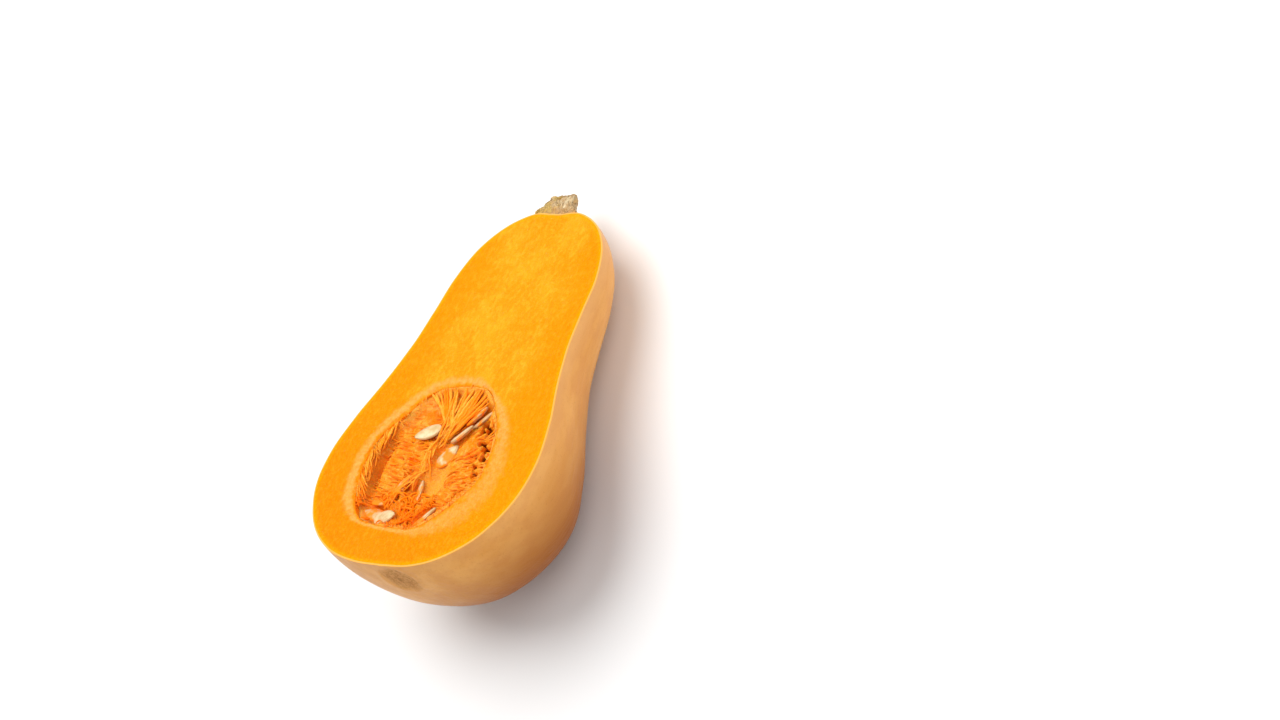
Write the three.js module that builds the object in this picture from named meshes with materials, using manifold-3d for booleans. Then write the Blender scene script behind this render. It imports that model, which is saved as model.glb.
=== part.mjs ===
// Half of a butternut squash, cut lengthwise from stem to blossom end, lying on its back.
// Millimetres, +Z up. The half is drawn with its cut face at z = 0: x runs across the
// face, y from the blossom end at 0 to the stem end, and z out of the face. The group at
// the end tips it on to its back and sets it down on z = 0, centred on x = 0 and y = 0.
import * as THREE from "three";
import { mergeVertices } from "three/addons/utils/BufferGeometryUtils.js";
import Module from "manifold-3d";

const wasm = await Module();
wasm.setup();

// Driving dimensions
const FRUIT_LENGTH = 240;
const LYING_TILT = THREE.MathUtils.degToRad(18.5); // the neck is thinner, so the stem end drops
const FLAT_SPOT_DEPTH = 0.8; // the skin is worn flat by this much where bulb and neck bear
const PIECE_GAP = 0.3; // kept between pieces that touch
const CAVITY_DEPTH = 50;
const CAVITY_CENTRE = [-7, 70];
const STEM_HEIGHT = 11; // above the shoulder
const STEM_TOP_RADIUS = 8.5;
const STEM_FOOT_RADIUS = 13.5;
const STEM_SUNK = 6; // how far its flared foot is seated in the shoulder
const STEM_RIBS = 5;
const STEM_OFFSET = -1; // across from the middle of the face
const STEM_AXIS_DEPTH = 2; // the knife passed this far in front of the middle of the stem
const SEED_LENGTH = 17;
const SEED_WIDTH = 9.5;
const SEED_THICKNESS = 3;

// Half sections of the fruit from the blossom end to the stem end: the distance along it,
// the left and right edges of the cut face, the depth of the back below that face, and how
// far the middle of the round section lies below it. The knife ran slantwise, in front of
// the middle of the bulb and through the middle of the neck.
const SECTIONS = [
  { along: 0, left: 0, right: 0, depth: 0, middle: 0 },
  { along: 1, left: -22, right: 18, depth: 28, middle: 8 },
  { along: 7, left: -44, right: 38, depth: 52, middle: 11 },
  { along: 21, left: -64, right: 57.5, depth: 72.5, middle: 12 },
  { along: 43, left: -77.5, right: 71, depth: 85, middle: 13 },
  { along: 68, left: -80.5, right: 75, depth: 90.5, middle: 13.5 },
  { along: 94, left: -75, right: 71, depth: 84.5, middle: 11 },
  { along: 119, left: -66, right: 64, depth: 74.5, middle: 7 },
  { along: 144, left: -59, right: 58.5, depth: 64.5, middle: 3.5 },
  { along: 168, left: -55.5, right: 56.5, depth: 57.5, middle: 1 },
  { along: 191, left: -52.5, right: 55, depth: 51.5, middle: 0 },
  { along: 212, left: -45.5, right: 48.5, depth: 44.5, middle: 0 },
  { along: 228, left: -32.5, right: 36.5, depth: 33.5, middle: 0 },
  { along: 237, left: -16, right: 20, depth: 19, middle: 0 },
  { along: FRUIT_LENGTH, left: 0, right: 0, depth: 0, middle: 0 },
];
const ROWS_ALONG = 64;
const FACETS_ROUND_BACK = 30;
const FACETS_ROUND_CAVITY = 36;
const FACETS_ROUND_STEM = 30;
const FACETS_ROUND_SEED = 12;
const STRING_SIDES = 4;

// The edge of the seed cavity in the cut face, anticlockwise from the right.
const CAVITY_EDGE = [
  [39, 68], [36, 87], [27, 102], [15, 115], [-4, 117], [-24, 113], [-36, 99],
  [-49, 81], [-50, 60], [-44, 40], [-32.5, 28], [-9, 24.5], [11, 26], [28, 41], [37.5, 55],
];

// The line that the middle strings follow, from the neck side of the cavity downwards.
const RIDGE_LINE = [
  [-2, 115], [-3, 101], [-2, 92], [-6, 84], [-8, 77], [-6, 69], [-8, 62], [-11, 56],
  [-16, 50], [-20, 43],
];

// Where each seed lies: its middle, the heading of its long axis, how far its tip is
// raised and how far it is rolled on to its edge, in degrees.
const SEEDS = [
  { at: [-18, 88, -4.2], heading: 210, pitch: 6, roll: 2 },
  { at: [-7.5, 92, -8], heading: 38, pitch: 0, roll: -16 },
  { at: [8, 87.8, -4.2], heading: 34, pitch: 12, roll: -34 },
  { at: [1, 75.5, -7.8], heading: 60, pitch: 0, roll: 6 },
  { at: [-20, 53, -6], heading: 70, pitch: 2, roll: -18 },
  { at: [-16.5, 60.5, -9], heading: 104, pitch: 2, roll: -22 },
  { at: [-28.5, 43.5, -7.5], heading: 4, pitch: 0, roll: -40 },
  { at: [-32, 35.6, -8.4], heading: 172, pitch: 6, roll: 14 },
  { at: [-19.5, 32.4, -4.6], heading: 9, pitch: 12, roll: 0 },
  { at: [17, 98.8, -6], heading: 38, pitch: 12, roll: -38 },
  { at: [11.5, 100.4, -5.2], heading: 40, pitch: 12, roll: -38 },
  { at: [8.5, 34.5, -5.6], heading: 48, pitch: 4, roll: -35 },
  { at: [-7, 50.5, -8], heading: 92, pitch: 4, roll: -34 },
];

const flesh = new THREE.MeshStandardMaterial({ color: 0xf9a90f, roughness: 0.45 });
const cork = new THREE.MeshStandardMaterial({ color: 0xb9a078, roughness: 0.85 });
const pulpFlesh = new THREE.MeshStandardMaterial({ color: 0xf6923a, roughness: 0.4 });
const seedCoat = new THREE.MeshStandardMaterial({ color: 0xf0d2a6, roughness: 0.35 });

// Mulberry32, so that every build draws the same strings.
function seededRandom(seed) {
  let state = seed;
  return () => {
    state = (state + 0x6d2b79f5) | 0;
    let mixed = Math.imul(state ^ (state >>> 15), 1 | state);
    mixed = (mixed + Math.imul(mixed ^ (mixed >>> 7), 61 | mixed)) ^ mixed;
    return ((mixed ^ (mixed >>> 14)) >>> 0) / 4294967296;
  };
}
const random = seededRandom(11);
const between = (low, high) => low + (high - low) * random();

const curve = (points, closed = false) =>
  new THREE.CatmullRomCurve3(points, closed, "catmullrom", 0.5);
const faceCurve = (points, closed) =>
  curve(points.map(([x, y]) => new THREE.Vector3(x, y, 0)), closed);

// A closed skin through rings of equally many points, gathered to a point at both ends.
function loft(rings, start, end) {
  const around = rings[0].length;
  const points = [start, ...rings.flat(), end];
  const at = (ring, i) => 1 + ring * around + (i % around);
  const index = [];
  for (let i = 0; i < around; i++) {
    index.push(0, at(0, i + 1), at(0, i));
    for (let ring = 0; ring + 1 < rings.length; ring++) {
      index.push(at(ring, i), at(ring, i + 1), at(ring + 1, i + 1));
      index.push(at(ring, i), at(ring + 1, i + 1), at(ring + 1, i));
    }
    index.push(points.length - 1, at(rings.length - 1, i), at(rings.length - 1, i + 1));
  }
  return new THREE.BufferGeometry().setFromPoints(points).setIndex(index);
}

// three.js geometry to a manifold-3d solid and back.
function solid(geometry) {
  const bare = geometry.clone();
  bare.deleteAttribute("normal");
  bare.deleteAttribute("uv");
  const merged = mergeVertices(bare, 1e-4);
  const triVerts = new Uint32Array(merged.index.array);
  const vertProperties = merged.attributes.position.array;
  const made = new wasm.Manifold(new wasm.Mesh({ numProp: 3, vertProperties, triVerts }));
  if (made.volume() > 0) return made;
  return new wasm.Manifold(
    new wasm.Mesh({ numProp: 3, vertProperties, triVerts: triVerts.reverse() }),
  );
}

function geometryOf(made) {
  const { vertProperties, triVerts } = made.getMesh();
  const geometry = new THREE.BufferGeometry();
  geometry.setAttribute("position", new THREE.BufferAttribute(vertProperties, 3));
  geometry.setIndex(new THREE.BufferAttribute(triVerts, 1));
  geometry.computeVertexNormals();
  return geometry;
}

const largestBody = (made) =>
  made.decompose().reduce((kept, body) => (body.volume() > kept.volume() ? body : kept));

// Flesh and rind: round sections, which the cut face passes in front of their middle.
function fruitSkin() {
  const edge = (side) =>
    curve(SECTIONS.map((s) => new THREE.Vector3(s[side], s.along, 0)));
  const left = edge("left");
  const right = edge("right");
  const back = curve(SECTIONS.map((s) => new THREE.Vector3(s.middle, s.along, s.depth)));
  const rings = [];
  for (let row = 1; row < ROWS_ALONG; row++) {
    const share = row / ROWS_ALONG;
    const from = right.getPoint(share);
    const to = left.getPoint(share);
    const { x: overshoot, z: depth } = back.getPoint(share);
    const middle = Math.max(0, overshoot);
    const radius = depth - middle;
    const edgeTurn = Math.asin(middle / radius);
    const halfWidth = (from.x - to.x) / 2 / Math.cos(edgeTurn);
    const ring = [];
    for (let i = 0; i <= FACETS_ROUND_BACK; i++) {
      const turn = THREE.MathUtils.lerp(-edgeTurn, Math.PI + edgeTurn, i / FACETS_ROUND_BACK);
      const across = (from.x + to.x) / 2 + halfWidth * Math.cos(turn);
      ring.push(new THREE.Vector3(across, from.y, -middle - radius * Math.sin(turn)));
    }
    rings.push(ring);
  }
  return solid(
    loft(rings, new THREE.Vector3(0, 0, 0), new THREE.Vector3(0, FRUIT_LENGTH, 0)),
  );
}

// The hollow that held the seeds, a steep-sided bowl below the cavity edge.
const cavityEdge = faceCurve(CAVITY_EDGE, true);
const cavityCentre = new THREE.Vector3(...CAVITY_CENTRE, 0);
const bowlSpread = (depth) => (1 - (depth / CAVITY_DEPTH) ** 2.5) ** (1 / 2.5);

function edgeRing(spread, height, inset = 0) {
  return Array.from({ length: FACETS_ROUND_CAVITY }, (_, i) => {
    const reach = cavityEdge.getPoint(i / FACETS_ROUND_CAVITY).sub(cavityCentre);
    reach.setLength(reach.length() * spread - inset);
    return reach.add(cavityCentre).setZ(height);
  });
}

const BOWL_DEPTHS = [0.14, 0.38, 0.6, 0.78, 0.91, 0.98];
function bowlRings(inset) {
  return BOWL_DEPTHS.map((share) =>
    edgeRing(bowlSpread(share * CAVITY_DEPTH), -share * CAVITY_DEPTH + inset, inset),
  );
}

const bowlFloor = (inset) => cavityCentre.clone().setZ(-CAVITY_DEPTH + inset);
function bowl(inset) {
  const clearOfFace = 6;
  const mouth = [edgeRing(1, clearOfFace, inset), edgeRing(1, 0, inset)];
  const lid = cavityCentre.clone().setZ(clearOfFace);
  return solid(loft([...mouth, ...bowlRings(inset)], lid, bowlFloor(inset)));
}

// The stem: a short corky stump on a flared foot, sunk in the shoulder and cut by the knife.
// Its profile runs up from the buried foot, as shares of the height and radii.
const STEM_PROFILE = [
  [0, STEM_FOOT_RADIUS - 3], [0.16, STEM_FOOT_RADIUS - 0.5], [0.29, STEM_FOOT_RADIUS],
  [0.42, STEM_FOOT_RADIUS - 1.5], [0.58, STEM_TOP_RADIUS + 2.2], [0.76, STEM_TOP_RADIUS + 0.8],
  [0.92, STEM_TOP_RADIUS + 0.2], [1, STEM_TOP_RADIUS - 1],
];
function stem(grown) {
  const tall = STEM_SUNK + STEM_HEIGHT + 2 * grown;
  const foot = new THREE.Vector3(
    STEM_OFFSET,
    FRUIT_LENGTH - STEM_SUNK - grown,
    -STEM_AXIS_DEPTH,
  );
  const rings = STEM_PROFILE.map(([share, radius]) =>
    Array.from({ length: FACETS_ROUND_STEM }, (_, i) => {
      const turn = (2 * Math.PI * i) / FACETS_ROUND_STEM;
      const ribbed = (radius + grown) * (1 + 0.05 * Math.cos(STEM_RIBS * turn));
      const out = new THREE.Vector3(Math.cos(turn), 0, Math.sin(turn));
      return out.multiplyScalar(ribbed).add(foot).setY(foot.y + share * tall);
    }),
  );
  const dishedTop = foot.clone().setY(foot.y + tall - 0.8);
  return solid(loft(rings, foot, dishedTop));
}

// Seeds: flat teardrops with a rounded rim. Each station is a share of the length from
// the middle, towards the tip, and the share of the full width there.
const SEED_STATIONS = [
  [-0.49, 0.26], [-0.4, 0.66], [-0.22, 0.95], [0, 1], [0.2, 0.84], [0.37, 0.5], [0.47, 0.22],
];
function seedSolid({ at, heading, pitch, roll }, grown) {
  const rings = SEED_STATIONS.map(([along, share]) =>
    Array.from({ length: FACETS_ROUND_SEED }, (_, i) => {
      const turn = (2 * Math.PI * i) / FACETS_ROUND_SEED;
      const halfThick = (SEED_THICKNESS / 2) * Math.min(1, 0.35 + 0.75 * share) + grown;
      const rimmed = Math.sin(turn) * (0.55 + 0.45 * Math.abs(Math.sin(turn)));
      return new THREE.Vector3(
        along * (SEED_LENGTH + 2 * grown),
        ((SEED_WIDTH / 2) * share + grown) * Math.cos(turn),
        halfThick * rimmed,
      );
    }),
  );
  const end = new THREE.Vector3(SEED_LENGTH / 2 + grown, 0, 0);
  const [turned, raised, rolled] = [heading, -pitch, roll].map(THREE.MathUtils.degToRad);
  const lie = new THREE.Matrix4().makeRotationFromEuler(
    new THREE.Euler(rolled, raised, turned, "ZYX"),
  );
  const flat = loft(rings, end.clone().negate(), end);
  return solid(flat.applyMatrix4(lie).translate(...at));
}

// Pulp: a soft mass that fills the bowl, with strings fused to it.
const ridgeAt = (y) => {
  const row = RIDGE_LINE.findIndex(([, along]) => along <= y);
  if (row < 1) return RIDGE_LINE.at(row)[0];
  const [above, below] = [RIDGE_LINE[row - 1], RIDGE_LINE[row]];
  return THREE.MathUtils.mapLinear(y, above[1], below[1], above[0], below[0]);
};

// Distance from the middle of the cavity to its edge in the direction of a point.
const edgePoints = cavityEdge.getPoints(120).map((point) => point.sub(cavityCentre));
const edgeReach = (x, y) => {
  const aim = new THREE.Vector3(x, y, 0).sub(cavityCentre);
  const off = (point) => point.angleTo(aim);
  return edgePoints.reduce((best, point) => (off(point) < off(best) ? point : best)).length();
};
const hump = (offset, width) => Math.exp(-((offset / width) ** 2));

// How high the mass stands, below the cut face: it climbs at the wall, with a ridge down
// the middle, a gap along each wall, a smooth hollow right of the ridge, and a nook at the
// blossom end's left where a seed lies bare.
function pulpHeight(x, y) {
  const fromMiddle = Math.hypot(x - CAVITY_CENTRE[0], y - CAVITY_CENTRE[1]);
  const fromEdge = edgeReach(x, y) - fromMiddle;
  const level = -7 + 0.7 * Math.sin(x * 0.33 + 1) * Math.sin(y * 0.24);
  const climb = 4 * hump(fromEdge, 8);
  const ridge = 3 * hump(x - ridgeAt(y), 4);
  const leftGap = x < -20 ? 9 * hump(fromEdge - 5, 3.5) * hump(y - 64, 22) : 0;
  const rightGap = x > 5 ? 4 * hump(fromEdge - 3.5, 2.2) * hump(y - 76, 26) : 0;
  const rise = 1.8 * THREE.MathUtils.clamp(x / 25, 0, 1);
  const hollow = 6 * hump(Math.hypot(x - 1, (y - 60) * 0.7), 7);
  const nook = 4.6 * hump(Math.hypot(x + 33, y - 35), 6.5);
  return level + climb + ridge + rise - leftGap - rightGap - hollow - nook;
}

const TOP_SPREADS = [0.18, 0.35, 0.5, 0.64, 0.76, 0.85, 0.92, 0.97];
function pulpMass() {
  const top = TOP_SPREADS.map((spread) =>
    edgeRing(spread, 0).map((p) => p.setZ(pulpHeight(p.x, p.y))),
  );
  const middle = cavityCentre.clone().setZ(pulpHeight(...CAVITY_CENTRE));
  const below = bowlRings(2 * PIECE_GAP).slice(1);
  return solid(loft([...top, ...below], middle, bowlFloor(2 * PIECE_GAP)));
}

// One string: a thin strand along a smooth path, pointed at its ends.
function strand(path, radius) {
  const steps = 2 * (path.length - 1);
  const way = curve(path.map((point) => new THREE.Vector3(...point)));
  const { normals, binormals } = way.computeFrenetFrames(steps, false);
  const rings = [];
  for (let step = 1; step < steps; step++) {
    const middle = way.getPointAt(step / steps);
    const thick = radius * Math.min(1, 0.45 + 0.35 * Math.min(step, steps - step));
    rings.push(
      Array.from({ length: STRING_SIDES }, (_, i) => {
        const turn = (2 * Math.PI * i) / STRING_SIDES;
        return middle
          .clone()
          .addScaledVector(normals[step], thick * Math.cos(turn))
          .addScaledVector(binormals[step], thick * Math.sin(turn));
      }),
    );
  }
  return solid(loft(rings, way.getPointAt(0), way.getPointAt(1)));
}

const onPulp = (x, y, above) => [x, y, pulpHeight(x, y) + above];
const nearEdge = (share, inward) => cavityEdge.getPointAt(share).lerp(cavityCentre, inward);

// Strings that fan out from the ridge to the neck side of the cavity.
function ridgeStrings() {
  return Array.from({ length: 9 }, (_, i) => {
    const away = 4 - i;
    const fan = nearEdge(0.205 + 0.026 * i, 0.05);
    const path = [
      [fan.x, fan.y, -2.5],
      onPulp(away * 1.26 - 2, 104, between(2.2, 3.2)),
      [away * 0.45 - 3, 92, -3.6],
    ];
    const last = 4 + Math.floor(between(0, 4));
    for (const [x, y] of RIDGE_LINE.slice(3, last + 1))
      path.push(onPulp(x + between(-1.6, 1.6), y, between(0.2, 1.2)));
    const [endX, endY] = RIDGE_LINE[last];
    path.push(onPulp(endX + between(-3, 3), endY - 6, -1.5));
    return strand(path, between(0.8, 1.25));
  });
}

// Fibres that lie straight across the mass from the left gap to the ridge.
function leftFibres() {
  return Array.from({ length: 15 }, (_, i) => {
    const y = 46 + 3.4 * i;
    const far = between(-41, -37);
    const near = ridgeAt(y) - between(4, 9);
    const path = [
      onPulp(far, y + 1.5, -0.5),
      onPulp((far + near) / 2, y + between(-1, 1), 0.4),
      onPulp(near, y - 1, -0.6),
    ];
    return strand(path, between(0.6, 0.9));
  });
}

// Fibres that spread from the middle of the cavity to its right wall.
function rightFibres() {
  return Array.from({ length: 14 }, (_, i) => {
    const aim = THREE.MathUtils.degToRad(-42 + 6.2 * i + between(-2, 2));
    const [ahead, aside] = [Math.cos(aim), Math.sin(aim)];
    const reach = edgeReach(CAVITY_CENTRE[0] + ahead, CAVITY_CENTRE[1] + aside);
    const place = (share, above) =>
      onPulp(
        CAVITY_CENTRE[0] + reach * share * ahead,
        CAVITY_CENTRE[1] + reach * share * aside,
        above,
      );
    const wall = place(0.985, 0).with(2, -2.2);
    return strand([wall, place(0.86, 0.9), place(0.62, 0.3), place(0.42, -0.8)], between(0.7, 1));
  });
}

// Strings that hang from the left wall across the gap beside the mass.
function wallStrings() {
  return Array.from({ length: 9 }, (_, i) => {
    const start = nearEdge(0.5 + 0.02 * i, 0.025);
    const drop = between(7, 10);
    const path = [
      [start.x, start.y, -1.8],
      [start.x + 3.5, start.y - drop * 0.5, -4.5],
      onPulp(start.x + between(8, 11), start.y - drop, -0.8),
    ];
    return strand(path, between(0.8, 1.2));
  });
}

// Loose loops in the tangle at the blossom side.
function tangleLoops() {
  return Array.from({ length: 9 }, () => {
    const [x, y] = [between(-26, 4), between(33, 43)];
    const [wide, start] = [between(3, 6), between(0, 2 * Math.PI)];
    const path = [-1.2, between(0.4, 1.8), 1.8, between(0.4, 1.8), -1.2].map((above, k) => {
      const turn = start + 1.05 * k;
      return onPulp(x + wide * Math.cos(turn), y + wide * 0.7 * Math.sin(turn), above);
    });
    return strand(path, between(0.7, 1));
  });
}

const lying = new THREE.Group();
lying.rotation.x = -LYING_TILT;

// The table cuts the lowest skin off flat.
function tableSolid(skin) {
  const lean = new THREE.Matrix4().makeRotationX(-LYING_TILT);
  const lowest = geometryOf(skin).applyMatrix4(lean);
  lowest.computeBoundingBox();
  const top = lowest.boundingBox.min.z + FLAT_SPOT_DEPTH;
  const table = new THREE.BoxGeometry(400, 600, 60).translate(0, 0, top - 30);
  return solid(table.applyMatrix4(lean.invert()));
}

const skin = fruitSkin();
const half = skin.subtract(bowl(0)).subtract(stem(PIECE_GAP)).subtract(tableSolid(skin));
const otherHalf = solid(new THREE.BoxGeometry(200, 600, 100).translate(0, 0, 50));
const strings = [ridgeStrings, leftFibres, rightFibres, wallStrings, tangleLoops].flatMap(
  (makeStrings) => makeStrings(),
);
const pulp = pulpMass()
  .add(wasm.Manifold.union(strings).intersect(bowl(PIECE_GAP)))
  .subtract(wasm.Manifold.union(SEEDS.map((seed) => seedSolid(seed, PIECE_GAP))));

function addPiece(name, made, material) {
  const mesh = new THREE.Mesh(geometryOf(largestBody(made)), material);
  mesh.name = name;
  lying.add(mesh);
}

addPiece("squash_half", half, flesh);
addPiece("stem", stem(0).subtract(otherHalf), cork);
addPiece("pulp", pulp, pulpFlesh);
SEEDS.forEach((seed, i) =>
  addPiece(`seed_${String(i + 1).padStart(2, "0")}`, seedSolid(seed, 0), seedCoat),
);

// Set down on z = 0 with the middle of its outline over the origin.
const outline = new THREE.Box3().setFromObject(lying, true);
const middle = outline.getCenter(new THREE.Vector3());
lying.position.set(-middle.x, -middle.y, -outline.min.z);

const squash = new THREE.Group();
squash.add(lying);

export default squash;
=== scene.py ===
"""Half of a butternut squash, cut lengthwise and lying on its back on a pale table.

Each section below makes one piece of the half, in the order in which it grew and was
cut. Shapes are worked out in millimetres on the half itself, where the cut face lies at
z = 0, x runs across it and y runs from the blossom end to the stem end. They are then
laid down in the row frame, in metres."""

import math
import random

import bpy
import numpy as np
from mathutils import Euler, Matrix, Vector, noise


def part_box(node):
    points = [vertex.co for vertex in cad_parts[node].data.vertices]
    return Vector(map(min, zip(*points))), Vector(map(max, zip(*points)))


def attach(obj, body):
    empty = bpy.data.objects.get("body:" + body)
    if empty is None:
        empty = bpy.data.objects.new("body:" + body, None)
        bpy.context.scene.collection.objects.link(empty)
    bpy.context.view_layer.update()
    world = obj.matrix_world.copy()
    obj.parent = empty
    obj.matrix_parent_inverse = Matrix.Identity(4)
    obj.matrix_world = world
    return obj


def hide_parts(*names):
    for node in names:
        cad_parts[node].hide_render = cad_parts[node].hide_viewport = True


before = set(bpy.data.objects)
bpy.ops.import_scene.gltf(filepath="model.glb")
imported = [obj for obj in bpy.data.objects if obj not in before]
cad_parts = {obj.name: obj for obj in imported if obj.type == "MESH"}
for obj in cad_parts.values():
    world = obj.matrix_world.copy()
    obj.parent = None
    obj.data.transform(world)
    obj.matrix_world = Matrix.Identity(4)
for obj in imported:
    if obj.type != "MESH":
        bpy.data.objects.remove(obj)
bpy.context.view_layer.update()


# --- Flesh --------------------------------------------------------------------
# The firm orange flesh: one solid that a knife has split from stem to blossom end, wet and
# finely grained on the cut, with a paler spongy ring round the hollow where the seeds grew.
# Its closed loops run up the hollow, out over the cut and down inside the skin to the keel.

FRUIT_LENGTH = 240
LYING_TILT = math.radians(18.5)
face_origin = Vector((0.0028, -0.1139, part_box("squash_half")[1].z))

# Along the fruit, left edge, right edge, depth of the back below the cut face, and how
# far below the face the middle of the round section lies: the knife ran slantwise.
HALF_SECTIONS = [
    (0, 0, 0, 0, 0),
    (1, -22, 18, 28, 8),
    (7, -44, 38, 52, 11),
    (21, -64, 57.5, 72.5, 12),
    (43, -77.5, 71, 85, 13),
    (68, -80.5, 75, 90.5, 13.5),
    (94, -75, 71, 84.5, 11),
    (119, -66, 64, 74.5, 7),
    (144, -59, 58.5, 64.5, 3.5),
    (168, -55.5, 56.5, 57.5, 1),
    (191, -52.5, 55, 51.5, 0),
    (212, -45.5, 48.5, 44.5, 0),
    (228, -32.5, 36.5, 33.5, 0),
    (237, -16, 20, 19, 0),
    (FRUIT_LENGTH, 0, 0, 0, 0),
]
HOLLOW_MIDDLE = np.array([-7.0, 70.0])
HOLLOW_DEPTH = 50
HOLLOW_EDGE = [
    (39, 68), (36, 87), (27, 102), (15, 115), (-4, 117), (-24, 113), (-36, 99),
    (-49, 81), (-50, 60), (-44, 40), (-32.5, 28), (-9, 24.5), (11, 26), (28, 41), (37.5, 55),
]
SPONGY_RING = [
    (50, 70), (43, 90), (30, 106), (6, 121.5), (-21, 120), (-39, 106), (-54, 83),
    (-57, 60), (-50, 38), (-35, 26), (-4, 21.5), (18, 21.5), (38, 31), (51, 49),
]
HOLLOW_FULLNESS = 2.5
HOLLOW_EDGE_ROUNDING = 1.1
HOLLOW_EDGE_REACH = 1.6
SHOULDER_DIP = 3.2
SHOULDER_DIP_MIDDLE = 1.5
SHOULDER_DIP_REACH = (11, 8)
SKIN_THICKNESS = 0.9
# The unevenness of the skin and of the cut: height, size across and seed of each layer.
SKIN_SWELLS = [(0.5, 42, 0), (0.16, 14, 7)]
CUT_SWELLS = [(0.16, 11, 3), (0.1, 2.6, 5)]
LOOP_POINTS = 540


def through(rows, shares, closed=False):
    """Points of a smooth curve through rows, at shares from 0 to 1 of its length in rows."""
    rows = np.asarray(rows, float)
    if closed:
        rows = np.vstack([rows, rows[:1]])
        padded = np.vstack([rows[-2], rows, rows[1]])
    else:
        padded = np.vstack([2 * rows[0] - rows[1], rows, 2 * rows[-1] - rows[-2]])
    place = np.asarray(shares, float) * (len(rows) - 1)
    start = np.clip(place.astype(int), 0, len(rows) - 2)
    t = (place - start)[:, None]
    a, b, c, d = (padded[start + k] for k in range(4))
    bend = (2 * a - 5 * b + 4 * c - d) * t**2 + (3 * b - a - 3 * c + d) * t**3
    return 0.5 * (2 * b + (c - a) * t + bend)


def evenly(points, count):
    """Shares at which count equal steps along a run of points begin."""
    steps = np.linalg.norm(np.diff(points, axis=0), axis=1)
    travelled = np.concatenate([[0], np.cumsum(steps)])
    wanted = np.arange(count) / count * travelled[-1]
    return np.interp(wanted, travelled, np.linspace(0, 1, len(points)))


def laid(points):
    """Points on the half, in millimetres, to the row frame, in metres: tipped on to its back."""
    x, y, z = np.moveaxis(np.asarray(points, float), -1, 0) * 0.001
    cos, sin = math.cos(LYING_TILT), math.sin(LYING_TILT)
    return np.stack([x, y * cos + z * sin, z * cos - y * sin], -1) + np.array(face_origin)


def ripple(points, size, seed=0.0):
    """Smooth noise from -1 to 1 at each point, with swells about size across."""
    scaled = np.asarray(points, float) / size + seed
    values = [noise.noise(point) for point in scaled.reshape(-1, 3).tolist()]
    return np.array(values).reshape(scaled.shape[:-1])


def swells(points, layers):
    """Ripples added up, each layer with a height, a size across and a seed."""
    return sum(high * ripple(points, size, seed) for high, size, seed in layers)


def hump(offset, width):
    """1 where offset is 0, and falling off to both sides."""
    return np.exp(-((offset / width) ** 2))


def placed(name, data):
    """An object in the scene, at the origin."""
    made = bpy.data.objects.new(name, data)
    bpy.context.scene.collection.objects.link(made)
    return made


def loops_piece(name, loops, **numbers):
    """A closed piece through loops of equally many points, welded where they meet, and laid down.

    Each of numbers holds one value for each point, which the piece's finish reads."""
    loops = np.asarray(loops, float)
    count, around = loops.shape[:2]
    welded, first, same = np.unique(
        np.round(loops.reshape(-1, 3), 4), axis=0, return_index=True, return_inverse=True
    )
    corner = same.reshape(count, around)
    beside = np.roll(corner, -1, axis=1)
    quads = np.stack([corner[:-1], beside[:-1], beside[1:], corner[1:]], -1).reshape(-1, 4)
    a, b, c, d = (welded[quads[:, k]] for k in range(4))
    if np.sum(np.cross(c - a, d - b) * (a + b + c + d)) < 0:
        quads = quads[:, ::-1]
    faces = [list(dict.fromkeys(quad)) for quad in quads.tolist()]
    grounded = laid(welded)
    grounded[:, 2] = np.maximum(grounded[:, 2], 0)
    mesh = bpy.data.meshes.new(name)
    mesh.from_pydata(grounded.tolist(), [], [face for face in faces if len(face) > 2])
    for label, values in numbers.items():
        stored = mesh.attributes.new(label, "FLOAT", "POINT")
        stored.data.foreach_set("value", np.asarray(values, np.float32).reshape(-1)[first])
    mesh.shade_smooth()
    return placed(name, mesh)


def ring_loop(rows):
    """Even points round a closed curve in the cut face, from its blossom side up the right."""
    dense = through(rows, np.linspace(0, 1, 2001), closed=True)[:-1]
    start = np.argmin(dense[:, 1] + 0.3 * abs(dense[:, 0] - HOLLOW_MIDDLE[0]))
    dense = np.roll(dense, -start, axis=0)
    dense = np.vstack([dense, dense[:1]])
    where = evenly(dense, LOOP_POINTS) * (len(dense) - 1)
    return np.column_stack([np.interp(where, np.arange(len(dense)), axis) for axis in dense.T])


# Shares along the fruit, and sides, of the points of every loop round the outside.
stations = through(HALF_SECTIONS, np.linspace(0, 1, 3001))
half_outline = np.column_stack([(stations[:, 2] - stations[:, 1]) / 2, stations[:, 0]])
up_one_side = evenly(half_outline, LOOP_POINTS // 2)
outside_share = np.concatenate([up_one_side, [1], up_one_side[:0:-1]])
outside_side = np.where(np.arange(LOOP_POINTS) <= LOOP_POINTS // 2, 1.0, -1.0)


def outside(turn, share=outside_share):
    """A loop of the smooth outer shape: the edge of the cut at turn 0, the keel at a quarter."""
    along, left, right, depth, middle = through(HALF_SECTIONS, share).T
    middle = np.maximum(middle, 0)
    radius = np.maximum(depth - middle, 1e-6)
    at_edge = np.arcsin(np.minimum(middle / radius, 0.95))
    turned = turn - at_edge * (1 - turn * 2 / math.pi)
    half_width = (right - left) / 2 / np.cos(at_edge)
    across = (left + right) / 2 + outside_side * half_width * np.cos(turned)
    off_across = (across - SHOULDER_DIP_MIDDLE) / SHOULDER_DIP_REACH[0]
    off_along = (along - FRUIT_LENGTH) / SHOULDER_DIP_REACH[1]
    dip = SHOULDER_DIP * np.exp(-(off_across**2) - off_along**2)
    return np.column_stack([across, along - dip, -middle - radius * np.sin(turned)])


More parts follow.
